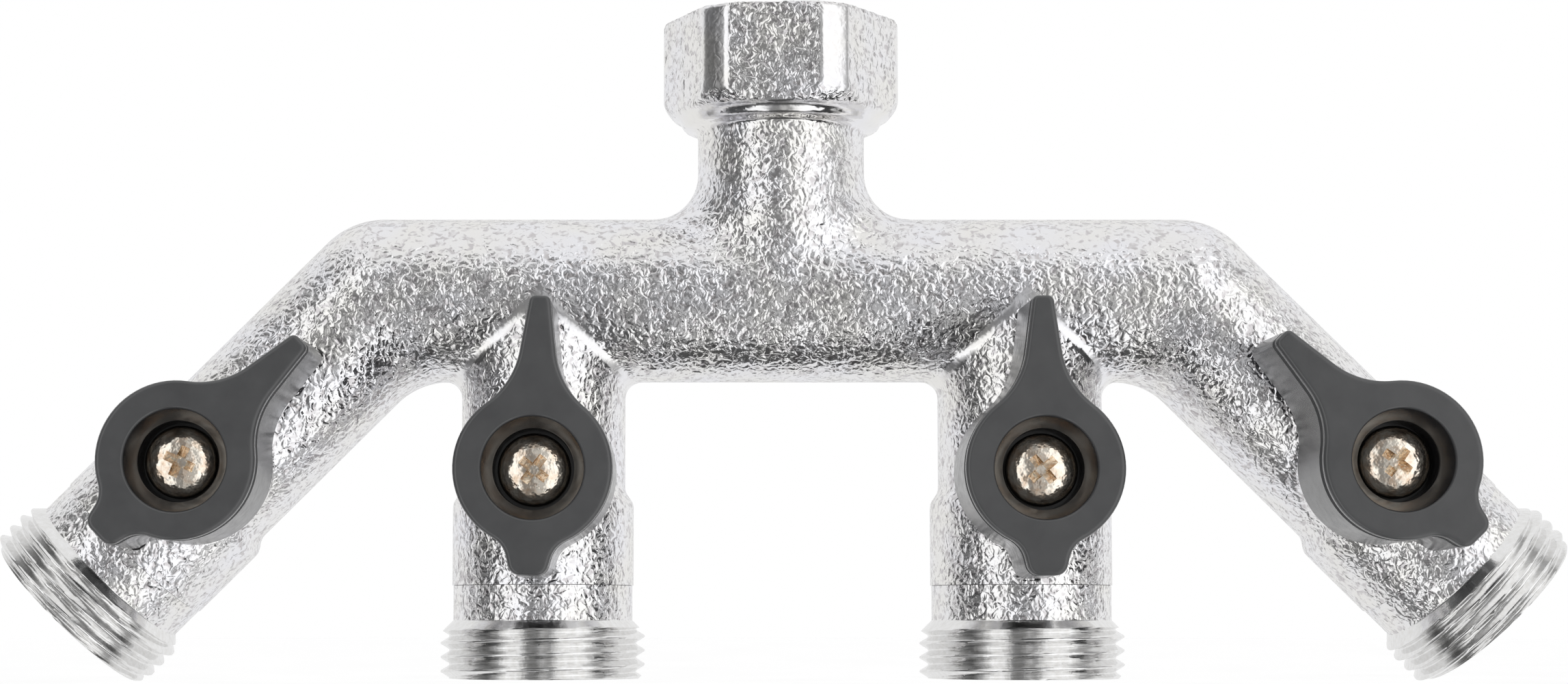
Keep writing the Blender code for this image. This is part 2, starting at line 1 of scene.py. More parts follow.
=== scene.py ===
"""Looks of the four-outlet hose splitter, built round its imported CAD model.

Lengths are in millimetres until a mesh is made, in the CAD's frame: the inlet's mouth is the origin, its
axis is +Z, the cross tube runs along X and the levers face -Y. The casting is a distance field with real
fillets, turned into a mesh; the turned ends carry helical threads; levers and screws are built finer than
in the CAD; the valves' inner pieces are the CAD's own, with better materials.
"""

import math

import bmesh
import bpy
import numpy as np
import openvdb
from mathutils import Matrix, Vector

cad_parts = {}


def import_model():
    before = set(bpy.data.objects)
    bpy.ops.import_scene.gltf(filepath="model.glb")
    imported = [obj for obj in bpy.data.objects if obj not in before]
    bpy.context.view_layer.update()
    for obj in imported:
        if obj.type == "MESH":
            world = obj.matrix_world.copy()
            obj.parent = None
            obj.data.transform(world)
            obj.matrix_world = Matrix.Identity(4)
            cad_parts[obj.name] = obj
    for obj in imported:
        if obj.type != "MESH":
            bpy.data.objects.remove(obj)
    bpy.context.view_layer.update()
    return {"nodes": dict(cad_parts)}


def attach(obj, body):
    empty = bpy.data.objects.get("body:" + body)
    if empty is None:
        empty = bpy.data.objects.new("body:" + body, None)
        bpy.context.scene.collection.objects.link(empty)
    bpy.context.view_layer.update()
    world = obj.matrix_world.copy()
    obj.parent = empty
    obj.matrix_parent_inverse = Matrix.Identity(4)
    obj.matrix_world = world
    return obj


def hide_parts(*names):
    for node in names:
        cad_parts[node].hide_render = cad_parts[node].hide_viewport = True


MM = 0.001

# Casting
INLET_TO_TUBE = 36.7
TUBE_R = 10.65
TUBE_BORE_R = 7.9
BEND_X = 51.85
BEND_ANGLE = math.radians(45)
INNER_X = 31.05
INNER_LENGTH = 49.15
OUTER_LENGTH = 57.5
NECK_FILLET = 6.0
BRANCH_FILLET = 2.2
ELBOW_FILLET = 9.5
BOSS_FILLET = 1.5
GRID_LOW = (-102, -17, -84)  # corners of the grid that the casting's mesh is cut from
GRID_HIGH = (102, 15, 2)
VOXEL = 0.62  # its cell
REFINE = 4  # fine cells along a coarse one
NEAR_BAND = 1.8  # coarse cells on each side of the surface that are refined
FAR = 3.0  # field value away from the surface

# Inlet head
HEAD_R = 15.4  # over the turned corners of the hexagon
HEAD_FLATS = 28.3
HEAD_TURN = -5  # degrees
HEAD_EDGE = 0.35
HEAD_CHAMFER = 0.4
HEAD_LEVEL = -13.0  # the turned corners shine from here up
COLLAR_RING_R = 12.8  # ring between the head and the neck
COLLAR_RING_LEVEL = -13.7
NECK_R = 10.9
SOCKET_R = 12.1
SOCKET_DEPTH = 8.8
SOCKET_RING_R = 13.5  # outside of the threaded socket's own ring
SOCKET_RING_DEPTH = 9.0
WASHER_POCKET_R = 12.7
WASHER_POCKET_DEPTH = 11.2

# Outlet ends, measured back from the outlet face
THREAD_LENGTH = 7.5
THREAD_PITCH = 1.814
THREAD_CREST_R = 13.22
THREAD_ROOT_R = 12.1
LEAD_IN = 1.0  # of the cone from the relief up to the first crest
THREAD_FLAT = 0.12  # share of the thread's depth cut off at the root, and again at the crest
THREAD_SEGMENTS = 120  # points round a threaded ring
THREAD_ROWS = 64  # rows of points along an outlet's thread
SOCKET_ROWS = 72  # rows of points along the inlet's thread
FACE_R = 12.45  # outlet face, from which a 45 degree cone leads on to the thread
RELIEF_END = 12.0
RELIEF_R = 11.6
COLLAR_END = 22.6
COLLAR_R = 11.75
COLLAR_CONE = 1.6
MOUTH_R = 9.4
MOUTH_CHAMFER = 0.25
MOUTH_DEPTH = 2.2
CLEARANCE = 0.004  # of the threaded rings, inside and out
CHAMBER_R = 8.5

# Valves
VALVE_FROM_END = 25.8
UPSTREAM_BORE_R = 6.2
CHAMBER_START = -8.6
BOSS_R = 8.6
BOSS_TOP = 12.3
BOSS_COLLAR_R = 5.9
BOSS_COLLAR_TOP = 13.9
STEM_BORE_R = 3.9
STEM_POCKET_R = 4.85
STEM_POCKET_TOP = 9.9

# Levers
LEVER_BOTTOM = 12.6
LEVER_FACE = 26.6
LEVER_DRAFT = 0.15
LEVER_EDGE = 0.55
LEVER_BASE_EDGE = 0.2
LIP_HEIGHT = 1.3  # of the face plate, over a shallow groove round the lever
GROOVE_HEIGHT = 0.9
GROOVE_DEPTH = 0.35
HUB_R = 9.7
POINTER_LENGTH = 21.0
POINTER_HALF_WIDTH = 1.35
POINTER_FLANK = math.radians(8)
POINTER_FILLET = 10.0
TAIL_LENGTH = 13.0
TAIL_HALF_WIDTH = 2.5
TAIL_FLANK = math.radians(14)
TAIL_FILLET = 3.4
RECESS_RIM_R = 6.4
RECESS_WELL_R = 5.0
RECESS_BOWL_DEPTH = 2.6
RECESS_FLOOR = 20.1
HOLLOW_R = 6.5
HOLLOW_TOP = 14.2
DRIVE_WIDTH = 4.9
# Turn of each lever from its arm's line, in degrees
LEVER_TILT = {"outer_left": -1.1, "inner_left": -2.4, "inner_right": 0.4, "outer_right": -1.2}

# Screws
SCREW_HEAD_R = 4.5
SCREW_HEAD_HEIGHT = 3.3
SCREW_DOME = 2.0
SCREW_SEAT = 0.15  # over the recess floor
SCREW_SHANK_R = 1.8
SCREW_LENGTH = 6.4
# Height, reach and half width of the cross recess, from its bottom up
SCREW_CROSS = [(-1.9, 0.55, 0.28), (-0.6, 1.75, 0.5), (1.0, 2.6, 0.72)]
# Turn of each screw's cross, in degrees
SCREW_TURN = {"outer_left": 20.0, "inner_left": 52.0, "inner_right": 40.0, "outer_right": 8.0}

# Looks of the CAD's own meshes, by a word in the node's name: the material's name, dark tone, light
# tone, metallic, roughness, scale of the grain and depth of the bump
NODE_LOOKS = {
    "ball": ("ball_chrome", (0.74, 0.74, 0.75), (0.80, 0.80, 0.81), 1.0, 0.12, 900, 0.000004),
    "seat": ("seat_ptfe", (0.78, 0.78, 0.75), (0.86, 0.86, 0.84), 0.0, 0.45, 500, 0.00001),
    "thrust": ("washer_ptfe", (0.76, 0.76, 0.74), (0.84, 0.84, 0.82), 0.0, 0.5, 500, 0.00001),
    "retainer": ("retainer_brass", (0.60, 0.43, 0.20), (0.72, 0.55, 0.30), 1.0, 0.3, 700, 0.00002),
    "stem": ("stem_brass", (0.62, 0.45, 0.22), (0.74, 0.57, 0.32), 1.0, 0.25, 700, 0.00002),
    "oring": ("oring_rubber", (0.012,) * 3, (0.03,) * 3, 0.0, 0.55, 900, 0.00001),
    "inlet_washer": ("washer_rubber", (0.015,) * 3, (0.035,) * 3, 0.0, 0.6, 900, 0.00002),
}

# Camera, from the inlet's mouth
CAMERA_AT = (-12.24, -356.4, -79.0)
CAMERA_PITCH = 0.0776
CAMERA_LENS = 62.83
CAMERA_SHIFT = (0.0613, 0.0448)
FLOOR_Z = -92.5
FLOOR_R = 2500

# Brightness of the studio round the object, by degrees to the right of the camera's side
STUDIO_RING = [
    (-180, 0.88),
    (-125, 0.90),
    (-106, 0.80),
    (-92, 0.30),
    (-70, 0.12),
    (-56, 0.50),
    (-46, 1.20),
    (-28, 1.10),
    (-18, 0.26),
    (-5, 0.22),
    (3, 0.60),
    (11, 0.30),
    (20, 0.95),
    (30, 1.22),
    (58, 1.22),
    (70, 0.65),
    (86, 0.40),
    (98, 0.85),
    (120, 0.95),
    (180, 0.88),
]
STUDIO_TOP = 0.92
STUDIO_TOP_BAND = (0.62, 0.90)  # sine of the elevation over which the top takes over
STUDIO_BOTTOM = 0.08
STUDIO_BOTTOM_BAND = (-0.88, -0.985)


# ---------------------------------------------------------------- distance fields


def length_of(vectors):
    return np.sqrt((vectors * vectors).sum(axis=1))


def rod(points, start, direction, profile):
    """Distance and outward normal of a round rod from start, whose profile is (along, radius) arrays."""
    along, radii = profile
    raw = (points - start) @ direction
    clipped = np.clip(raw, along[0], along[-1])
    offset = points - (start + clipped[:, None] * direction)
    reach = np.maximum(length_of(offset), 1e-6)
    slope = np.interp(clipped, along, np.gradient(radii, along))
    slope[raw != clipped] = 0.0
    lean = np.sqrt(1 + slope**2)
    normal = (offset / reach[:, None] - slope[:, None] * direction) / lean[:, None]
    return (reach - np.interp(clipped, along, radii)) / lean, normal


def flat_end(field, points, centre, normal):
    """Cuts a field off at a plane through centre."""
    distance, out = field
    plane = (points - centre) @ normal
    past = plane > distance
    return np.where(past, plane, distance), np.where(past[:, None], normal, out)


def union(first, second, fillet=0.0):
    """Joins two fields; the corner between them is filled by a rolling ball of radius fillet."""
    d1, n1 = first
    d2, n2 = second
    nearer = d1 <= d2
    distance = np.where(nearer, d1, d2)
    normal = np.where(nearer[:, None], n1, n2)
    if fillet <= 0:
        return distance, normal
    skew = (n1 * n2).sum(axis=1)
    spread = 1 - skew**2
    u = fillet - d1
    v = fillet - d2
    a = u - skew * v
    b = v - skew * u
    inside = (a > 0) & (b > 0) & (spread > 1e-4)
    safe = np.where(inside, spread, 1.0)
    ball = np.sqrt(np.maximum((u * u + v * v - 2 * u * v * skew) / safe, 1e-9))
    blend = (n1 * a[:, None] + n2 * b[:, None]) / (safe * ball)[:, None]
    distance = np.where(inside, fillet - ball, distance)
    return distance, np.where(inside[:, None], blend, normal)


def negative(field):
    return -field[0], -field[1]


def intersection(first, second, rounding=0.0):
    return negative(union(negative(first), negative(second), rounding))


def smooth_profile(corners, blur):
    """(along, radius) arrays through the corners, with each corner rounded over about blur."""
    along = np.arange(corners[0][0], corners[-1][0] + 0.05, 0.1)
    radii = np.interp(along, [c[0] for c in corners], [c[1] for c in corners])
    width = max(int(round(blur / 0.1)), 1)
    padded = np.pad(radii, width, mode="edge")
    kernel = np.ones(width) / width
    blurred = np.convolve(np.convolve(padded, kernel, "same"), kernel, "same")
    return along, blurred[width:-width]


def vector(x, y, z):
    return np.array([x, y, z], float)


def outlets():
    """Name, start on the cross tube's axis, flow direction and length of each outlet, left to right."""
    slant = vector(math.sin(BEND_ANGLE), 0, -math.cos(BEND_ANGLE))
    down = vector(0, 0, -1)
    return [
        ("outer_left", vector(-BEND_X, 0, -INLET_TO_TUBE), slant * vector(-1, 0, 1), OUTER_LENGTH),
        ("inner_left", vector(-INNER_X, 0, -INLET_TO_TUBE), down, INNER_LENGTH),
        ("inner_right", vector(INNER_X, 0, -INLET_TO_TUBE), down, INNER_LENGTH),
        ("outer_right", vector(BEND_X, 0, -INLET_TO_TUBE), slant, OUTER_LENGTH),
    ]


def arm_profile(length):
    step = length - COLLAR_END
    corners = [(0, TUBE_R), (step - COLLAR_CONE, TUBE_R), (step, COLLAR_R), (length - 4, COLLAR_R)]
    return smooth_profile(corners, 0.7)


def head_profile():
    """Neck and head by height above the cross tube's axis."""
    top = INLET_TO_TUBE
    corners = [
        (0, NECK_R - 1.0),
        (TUBE_R, NECK_R),
        (21.6, NECK_R),
        (22.3, NECK_R + 0.4),
        (22.5, COLLAR_RING_R - 0.4),
        (22.7, COLLAR_RING_R),
        (23.5, COLLAR_RING_R + 0.4),
        (23.75, COLLAR_RING_R + 0.6),
        (24.0, HEAD_FLATS / 2),
        (25.2, HEAD_R - 0.3),
        (26.0, HEAD_R),
        (top - HEAD_CHAMFER, HEAD_R),
        (top, HEAD_R - HEAD_CHAMFER),
        (top + 2, HEAD_R - HEAD_CHAMFER),
    ]
    return smooth_profile(corners, 0.3)


def casting_field(points):
    """Distance and normal of the whole casting, with its ends flat and no bores."""
    right = vector(1, 0, 0)
    up = vector(0, 0, 1)
    centre = vector(0, 0, -INLET_TO_TUBE)
    straight = (np.array([0.0, 2 * BEND_X]), np.array([TUBE_R, TUBE_R]))
    field = rod(points, centre - right * BEND_X, right, straight)

    neck = rod(points, centre, up, head_profile())
    for side in range(6):
        angle = math.radians(HEAD_TURN + 60 * side)
        normal = vector(math.sin(angle), -math.cos(angle), 0)
        plane = ((points @ normal) - HEAD_FLATS / 2, np.broadcast_to(normal, points.shape))
        neck = intersection(neck, plane, HEAD_EDGE)
    neck = flat_end(neck, points, vector(0, 0, 0), up)
    field = union(field, neck, NECK_FILLET)

    # The outer arms come first, so that their wide fillets meet the cross tube alone.
    for kind, fillet in (("outer", ELBOW_FILLET), ("inner", BRANCH_FILLET)):
        for name, start, flow, length in outlets():
            if name.startswith(kind):
                arm = rod(points, start, flow, arm_profile(length))
                arm = flat_end(arm, points, start + flow * (length - RELIEF_END + 2), flow)
                field = union(field, arm, fillet)
    for _, start, flow, length in outlets():
        ball = start + flow * (length - VALVE_FROM_END)
        out = vector(0, -1, 0)
        steps = ((BOSS_R, BOSS_TOP, BOSS_FILLET), (BOSS_COLLAR_R, BOSS_COLLAR_TOP, 0.0))
        for radius, top, fillet in steps:
            profile = (np.array([0.0, top + 2]), np.array([radius, radius]))
            boss = flat_end(rod(points, ball, out, profile), points, ball + out * top, out)
            field = union(field, boss, fillet)
    return field


# ---------------------------------------------------------------- meshes


def smooth_by_angle(mesh, degrees):
    mesh.shade_smooth()
    if degrees:
        mesh.set_sharp_from_angle(angle=math.radians(degrees))


def new_object(name, mesh, mat, smooth_angle=35):
    obj = bpy.data.objects.new(name, mesh)
    bpy.context.scene.collection.objects.link(obj)
    smooth_by_angle(mesh, smooth_angle)
    if mat is not None:
        mesh.materials.append(mat)
    return obj


def object_from(name, bm, mat, smooth_angle=35):
    """A mesh object from bm, which is in millimetres."""
    bmesh.ops.recalc_face_normals(bm, faces=bm.faces)
    bmesh.ops.scale(bm, vec=(MM, MM, MM), verts=bm.verts)
    mesh = bpy.data.meshes.new(name)
    bm.to_mesh(mesh)
    bm.free()
    return new_object(name, mesh, mat, smooth_angle)


def grid_mesh(name, rows, mat, smooth_angle=35):
    """A closed ring solid from rows of points, each row a loop, the last row joined to the first."""
    bm = bmesh.new()
    loops = [[bm.verts.new(point) for point in row] for row in rows]
    count = len(loops[0])
    for low, high in zip(loops, loops[1:] + loops[:1]):
        for i in range(count):
            j = (i + 1) % count
            bm.faces.new((low[i], low[j], high[j], high[i]))
    return object_from(name, bm, mat, smooth_angle)


def lathe(outline, segments=64):
    """A solid of revolution about Z from (radius, height) points that start and end on the axis."""
    bm = bmesh.new()
    angles = [2 * math.pi * i / segments for i in range(segments)]
    rings = []
    for radius, height in outline:
        if radius < 1e-6:
            rings.append([bm.verts.new((0, 0, height))])
        else:
            circle = [(radius * math.cos(a), radius * math.sin(a), height) for a in angles]
            rings.append([bm.verts.new(point) for point in circle])
    for low, high in zip(rings, rings[1:]):
        for i in range(segments):
            j = (i + 1) % segments
            corners = [low[i % len(low)], low[j % len(low)], high[j % len(high)], high[i % len(high)]]
            bm.faces.new(list(dict.fromkeys(corners)))
    return bm


def prism(sections):
    """A solid lofted through matching loops of points, closed by its first and last loops."""
    bm = bmesh.new()
    rings = [[bm.verts.new(point) for point in section] for section in sections]
    count = len(rings[0])
    for low, high in zip(rings, rings[1:]):
        for i in range(count):
            j = (i + 1) % count
            bm.faces.new((low[i], low[j], high[j], high[i]))
    bm.faces.new(rings[0])
    bm.faces.new(rings[-1][::-1])
    return bm


def box(size, centre=(0, 0, 0)):
    bm = bmesh.new()
    bmesh.ops.create_cube(bm, size=1.0)
    bmesh.ops.scale(bm, vec=size, verts=bm.verts)
    bmesh.ops.translate(bm, vec=centre, verts=bm.verts)
    return bm


def cut(obj, cutters, solver="MANIFOLD"):
    """Subtracts each (bmesh, matrix) from obj for good."""
    helpers = []
    for index, (bm, matrix) in enumerate(cutters):
        helper = object_from(f"cutter_{index}", bm, None)
        helper.matrix_world = matrix
        modifier = obj.modifiers.new(helper.name, "BOOLEAN")
        modifier.operation = "DIFFERENCE"
        modifier.solver = solver
        modifier.object = helper
        helpers.append(helper)
    bpy.context.view_layer.update()
    graph = bpy.context.evaluated_depsgraph_get()
    mesh = bpy.data.meshes.new_from_object(obj.evaluated_get(graph), depsgraph=graph)
    obj.modifiers.clear()
    obj.data = mesh
    for helper in helpers:
        data = helper.data
        bpy.data.objects.remove(helper)
        bpy.data.meshes.remove(data)


def field_mesh():
    """Quads on the casting's surface: found on a coarse grid, refined near it, then pulled onto it."""
    low = vector(*GRID_LOW)
    high = vector(*GRID_HIGH)
    coarse = REFINE * VOXEL
    count = np.ceil((high - low) / coarse).astype(int) + 1
    axes = [low[i] + coarse * np.arange(count[i]) for i in range(3)]
    nodes = np.stack(np.meshgrid(*axes, indexing="ij"), axis=-1).reshape(-1, 3)
    at_nodes = casting_field(nodes)[0].reshape(count)
    cells = np.argwhere(np.abs(at_nodes) < coarse * NEAR_BAND)
    fine = np.full(count * REFINE, FAR, np.float32)
    steps = np.stack(np.meshgrid(*[np.arange(REFINE)] * 3, indexing="ij"), axis=-1).reshape(-1, 3)
    index = (cells[:, None, :] * REFINE + steps[None, :, :]).reshape(-1, 3)
    values = casting_field(low + index * VOXEL)[0]
    fine[tuple(index.T)] = values
    # Cells far inside keep a negative value, so the grid has no false shell.
    inside = at_nodes < -coarse * NEAR_BAND + 1e-6
    for axis in range(3):
        inside = np.repeat(inside, REFINE, axis)
    fine[inside & (fine > FAR - 0.1)] = -FAR
    grid = openvdb.FloatGrid(FAR)
    grid.copyFromArray(fine)
    points, quads = grid.convertToQuads(0.0)
    points = low + points.astype(float) * VOXEL
    for _ in range(3):
        distance, normal = casting_field(points)
        points = points - normal * np.clip(distance, -VOXEL, VOXEL)[:, None]
    return points, quads


def build_casting(mat):
    points, quads = field_mesh()
    mesh = bpy.data.meshes.new("manifold_casting")
    mesh.from_pydata((points * MM).tolist(), [], quads.tolist())
    mesh.validate()
    casting = new_object("manifold_casting", mesh, mat, 40)
    cut(casting, casting_cutters())
    smooth_by_angle(casting.data, 40)
    return casting


def z_along(direction):
    """Rotation that turns +Z to a direction in the XZ plane and keeps Y."""
    return Matrix.Rotation(math.atan2(direction[0], direction[2]), 4, "Y")


def placed(point, turn=Matrix()):
    return Matrix.Translation(Vector(point) * MM) @ turn


def valve_frame(start, flow, length):
    """Placement with its origin in the ball, +Z out along the stem and +Y upstream."""
    centre = start + flow * (length - VALVE_FROM_END)
    out = Vector((0, -1, 0))
    upstream = -Vector(flow)
    turn = Matrix((upstream.cross(out), upstream, out)).transposed().to_4x4()
    return placed(centre, turn)


def casting_cutters():
    """(bmesh, matrix) of each bore: cross tube, inlet socket, and every outlet's bore and stem hole."""
    tube = vector(0, 0, -INLET_TO_TUBE)
    arc = [math.pi / 2 * i / 6 for i in range(7)]
    end = [(TUBE_BORE_R * math.sin(a), BEND_X + TUBE_BORE_R * math.cos(a)) for a in arc]
    cross = [(r, -z) for r, z in end] + end[::-1]
    socket = [
        (0, -INLET_TO_TUBE),
        (TUBE_BORE_R, -INLET_TO_TUBE),
        (TUBE_BORE_R, -WASHER_POCKET_DEPTH),
        (WASHER_POCKET_R, -WASHER_POCKET_DEPTH),
        (WASHER_POCKET_R, -SOCKET_RING_DEPTH),
        (SOCKET_RING_R, -SOCKET_RING_DEPTH),
        (SOCKET_RING_R, 1),
        (0, 1),
    ]
    stem = [
        (0, 5),
        (STEM_POCKET_R, 5),
        (STEM_POCKET_R, STEM_POCKET_TOP),
        (STEM_BORE_R, STEM_POCKET_TOP),
        (STEM_BORE_R, 16),
        (0, 16),
    ]
    cutters = [
        (lathe(cross), placed(tube, z_along((1, 0, 0)))),
        (lathe(socket, 96), Matrix()),
    ]
    for _, start, flow, length in outlets():
        chamber = length - VALVE_FROM_END + CHAMBER_START
        step = length - RELIEF_END
        bore = [
            (0, 0),
            (UPSTREAM_BORE_R, 0),
            (UPSTREAM_BORE_R, chamber),
            (CHAMBER_R, chamber),
            (CHAMBER_R, step),
            (20, step),
            (20, step + 8),
            (0, step + 8),
        ]
        cutters.append((lathe(bore), placed(start, z_along(flow))))
        cutters.append((lathe(stem, 32), valve_frame(start, flow, length)))
    return cutters


def thread_wave(turns):
    """Height of a pipe thread's rounded V, from 0 at the root to 1 at the crest, by turns."""
    phase = turns - math.floor(turns)
    ramp = 1 - abs(2 * phase - 1)
    return min(max((ramp - THREAD_FLAT) / (1 - 2 * THREAD_FLAT), 0.0), 1.0)


def ring_row(height, radius):
    """A loop of points about Z; radius is a number, or a function of height and angle."""
    points = []
    for i in range(THREAD_SEGMENTS):
        angle = 2 * math.pi * i / THREAD_SEGMENTS
        reach = radius(height, angle) if callable(radius) else radius
        points.append((reach * math.cos(angle), reach * math.sin(angle), height))
    return points


def turned_end(name, mat):
    """The machined end of an outlet, about its own Z axis with the outlet face at the top."""

    def thread(height, angle):
        depth = THREAD_CREST_R - THREAD_ROOT_R
        wave = thread_wave(height / THREAD_PITCH - angle / (2 * math.pi))
        lead_in = height + THREAD_LENGTH
        if lead_in < LEAD_IN:
            return RELIEF_R + lead_in
        return min(RELIEF_R + lead_in, THREAD_ROOT_R + depth * wave, FACE_R - height)

    inner = CHAMBER_R - CLEARANCE
    profile = [
        (-RELIEF_END - 0.4, inner),
        (-RELIEF_END - 0.4, RELIEF_R - 0.3),
        (-RELIEF_END - 0.02, RELIEF_R - 0.3),
        (-RELIEF_END + 0.06, RELIEF_R),
        (-THREAD_LENGTH - 0.05, RELIEF_R),
    ]
    for i in range(THREAD_ROWS + 1):
        profile.append((-THREAD_LENGTH + THREAD_LENGTH * i / THREAD_ROWS, thread))
    profile += [
        (0.0, MOUTH_R + MOUTH_CHAMFER),
        (-MOUTH_CHAMFER, MOUTH_R),
        (-MOUTH_DEPTH, MOUTH_R),
        (-MOUTH_DEPTH, inner),
    ]
    return grid_mesh(name, [ring_row(*point) for point in profile], mat, 50)


def socket_ring(name, mat):
    """The inlet's female thread: a ring about Z with the mouth at height 0."""

    def thread(height, angle):
        depth = THREAD_CREST_R - SOCKET_R
        wave = thread_wave(height / THREAD_PITCH - angle / (2 * math.pi))
        return max(SOCKET_R + depth * wave, SOCKET_R + 0.15 + max(height + 1.0, 0.0))

    outer = SOCKET_RING_R - CLEARANCE
    profile = [(-SOCKET_RING_DEPTH, outer), (-0.1, outer), (0.0, SOCKET_RING_R - 0.1)]
    profile += [(-SOCKET_DEPTH * i / SOCKET_ROWS, thread) for i in range(SOCKET_ROWS + 1)]
    profile.append((-SOCKET_RING_DEPTH, SOCKET_R + 0.4))
    return grid_mesh(name, [ring_row(*point) for point in profile], mat, 50)


def arc_points(centre, radius, first, last, steps):
    angles = [first + (last - first) * i / steps for i in range(steps + 1)]
    return [(centre[0] + radius * math.cos(a), centre[1] + radius * math.sin(a)) for a in angles]


def arm_side(length, half_width, flank, fillet):
    """One side of a lever arm along +Y, from its tip to the hub, and the angle at which it meets the hub."""
    corner = half_width * 0.62
    out = Vector((math.cos(flank), math.sin(flank)))
    tip_centre = Vector((half_width - corner, length - corner))
    edge = tip_centre + out * corner
    reach = HUB_R + fillet
    offset = edge + out * fillet
    down = Vector((math.sin(flank), -math.cos(flank)))
    along = -offset.dot(down)
    root = math.sqrt(along**2 - offset.length_squared + reach**2)
    along += root if root > along else -root
    centre = offset + down * along
    hub_angle = math.atan2(centre.y, centre.x)
    points = arc_points(tip_centre, corner, math.pi / 2, flank, 8)
    points += arc_points(centre, fillet, math.pi + flank, math.pi + hub_angle, 14)
    return points, hub_angle


def lever_outline():
    """The lever's outline in its own plane, +Y along the pointer."""
    pointer, first = arm_side(POINTER_LENGTH, POINTER_HALF_WIDTH, POINTER_FLANK, POINTER_FILLET)
    tail, last = arm_side(TAIL_LENGTH, TAIL_HALF_WIDTH, TAIL_FLANK, TAIL_FILLET)
    hub = arc_points((0, 0), HUB_R, first, -last, 24)[1:-1]
    half = pointer + hub + [(x, -y) for x, y in tail[::-1]]
    mirror = [(-x, y) for x, y in half[::-1]]
    return [Vector(p) for p in half + mirror]


def offset_loop(points, distance):
    """The closed loop moved outwards along its corners' mean normals."""
    moved_points = []
    for i, point in enumerate(points):
        before = point - points[i - 1]
        after = points[(i + 1) % len(points)] - point
        tangent = before.normalized() + after.normalized()
        normal = Vector((-tangent.y, tangent.x)).normalized()
        moved_points.append(point + normal * distance)
    return moved_points


def rounded_edge(steps, radius):
    """(inset, drop) pairs of a quarter-round edge, from the side wall to the face."""
    turns = [math.pi / 2 * i / steps for i in range(steps + 1)]
    return [(radius * (1 - math.cos(a)), radius * (1 - math.sin(a))) for a in turns]


def build_lever(name, mat):
    """A lever about +Z, which is its stem's axis, with the pointer along +Y."""
    outline = lever_outline()
    groove = LEVER_FACE - LIP_HEIGHT
    levels = [
        (LEVER_BOTTOM, LEVER_DRAFT - LEVER_BASE_EDGE),
        (LEVER_BOTTOM + LEVER_BASE_EDGE, LEVER_DRAFT),
        (groove - GROOVE_HEIGHT - GROOVE_DEPTH, 0.0),
        (groove - GROOVE_HEIGHT, -GROOVE_DEPTH),
        (groove - 0.1, -GROOVE_DEPTH),
        (groove, -GROOVE_DEPTH + 0.1),
        (groove + 0.05, -0.05),
        (groove + 0.15, 0.0),
    ]
    levels += [(LEVER_FACE - drop, -inset) for inset, drop in rounded_edge(6, LEVER_EDGE)]
    levels.append((LEVER_FACE, -LEVER_EDGE - 0.15))
    sections = []
    for height, grow in levels:
        sections.append([(p.x, p.y, height) for p in offset_loop(outline, grow)])
    lever = object_from(f"{name}_lever_cap", prism(sections), mat)
    recess = [
        (0, RECESS_FLOOR),
        (RECESS_WELL_R - 0.1, RECESS_FLOOR),
        (RECESS_WELL_R, LEVER_FACE - RECESS_BOWL_DEPTH - 0.2),
        (RECESS_WELL_R + 0.15, LEVER_FACE - RECESS_BOWL_DEPTH),
        (RECESS_RIM_R - 0.2, LEVER_FACE - 0.3),
        (RECESS_RIM_R - 0.05, LEVER_FACE - 0.1),
        (RECESS_RIM_R + 0.1, LEVER_FACE),
        (RECESS_RIM_R + 0.1, LEVER_FACE + 1),
        (0, LEVER_FACE + 1),
    ]
    hollow = [
        (0, LEVER_BOTTOM - 1),
        (HOLLOW_R, LEVER_BOTTOM - 1),
        (HOLLOW_R, HOLLOW_TOP),
        (0, HOLLOW_TOP),
    ]
    drive_size = (DRIVE_WIDTH, DRIVE_WIDTH, RECESS_FLOOR - HOLLOW_TOP + 2)
    drive = box(drive_size, (0, 0, (RECESS_FLOOR + HOLLOW_TOP) / 2))
    cut(lever, [(bm, Matrix()) for bm in (lathe(recess), lathe(hollow), drive)], "EXACT")
    smooth_by_angle(lever.data, 30)
    return lever


def build_screw(name, mat):
    """A domed screw with a cross recess, in its lever's place."""
    seat = RECESS_FLOOR + SCREW_SEAT
    turns = [math.pi / 2 * i / 10 for i in range(10)]
    rim = seat + SCREW_HEAD_HEIGHT - SCREW_DOME
    dome = [(SCREW_HEAD_R * math.cos(a), rim + SCREW_DOME * math.sin(a)) for a in turns]
    outline = [
        (0, seat - SCREW_LENGTH),
        (SCREW_SHANK_R - 0.6, seat - SCREW_LENGTH),
        (SCREW_SHANK_R, seat - SCREW_LENGTH + 0.6),
        (SCREW_SHANK_R, seat),
        (SCREW_HEAD_R - 0.25, seat),
        (SCREW_HEAD_R - 0.05, seat + 0.2),
        *dome,
        (0, seat + SCREW_HEAD_HEIGHT),
    ]
    screw = object_from(f"{name}_screw_head", lathe(outline), mat)
    quarters = [Matrix.Rotation(math.radians(90) * i, 2) for i in range(4)]
    cross = []
    for height, reach, half in SCREW_CROSS:
        corner = [(reach, -half), (reach, half), (half, half)]
        turned = [quarter @ Vector(p) for quarter in quarters for p in corner]
        cross.append([(p.x, p.y, height) for p in turned])
    turn = Matrix.Rotation(math.radians(SCREW_TURN[name]), 4, "Z")
    cut(screw, [(prism(cross), placed((0, 0, seat + SCREW_HEAD_HEIGHT), turn))], "EXACT")
    smooth_by_angle(screw.data, 30)
    return screw


# ---------------------------------------------------------------- materials


